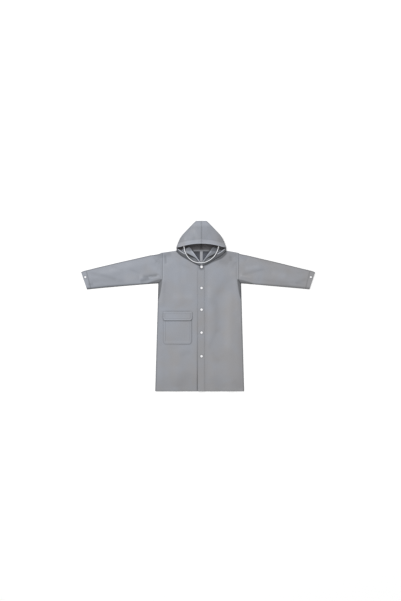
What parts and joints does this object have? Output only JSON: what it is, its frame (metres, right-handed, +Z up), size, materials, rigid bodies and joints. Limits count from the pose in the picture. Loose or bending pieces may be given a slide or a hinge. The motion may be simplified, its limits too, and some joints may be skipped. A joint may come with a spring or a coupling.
{
  "type": "long raincoat laid flat",
  "caption": "Long hooded raincoat laid flat with its front fastened: snap band, patch pocket with flap, straight sleeves with snaps at the cuffs and a hood with a drawstring.",
  "frame": {"origin": "on the surface that the coat rests on, below the middle of its outline", "axes": "+X towards the wearer's left cuff, +Y towards the hood, +Z up out of the surface"},
  "size_m": [1.742, 1.268, 0.0564],
  "materials": {
    "coat_cloth": "smooth coated rain cloth in a bluish mid grey, with a soft sheen",
    "seam_tape": "satin heat-bonded tape, a little lighter than the cloth",
    "snap_cap": "white moulded plastic, smooth",
    "cord": "white braided cord, matt"
  },
  "bodies": {
    "root": {"back_right": "coat_cloth", "back_left": "coat_cloth", "front_right": "coat_cloth", "front_left": "coat_cloth", "placket": "coat_cloth", "sleeve_right": "coat_cloth", "sleeve_left": "coat_cloth", "hood_right": "coat_cloth", "hood_left": "coat_cloth", "hood_facing_right": "coat_cloth", "hood_facing_left": "coat_cloth", "pocket_bag": "coat_cloth", "pocket_flap": "coat_cloth", "neck_tape": "seam_tape", "centre_back_tape": "seam_tape", "front_snap_1": "snap_cap", "front_snap_2": "snap_cap", "front_snap_3": "snap_cap", "front_snap_4": "snap_cap", "front_snap_5": "snap_cap", "cuff_snap_right": "snap_cap", "cuff_snap_left": "snap_cap", "drawstring": "cord"}
  },
  "joints": []
}
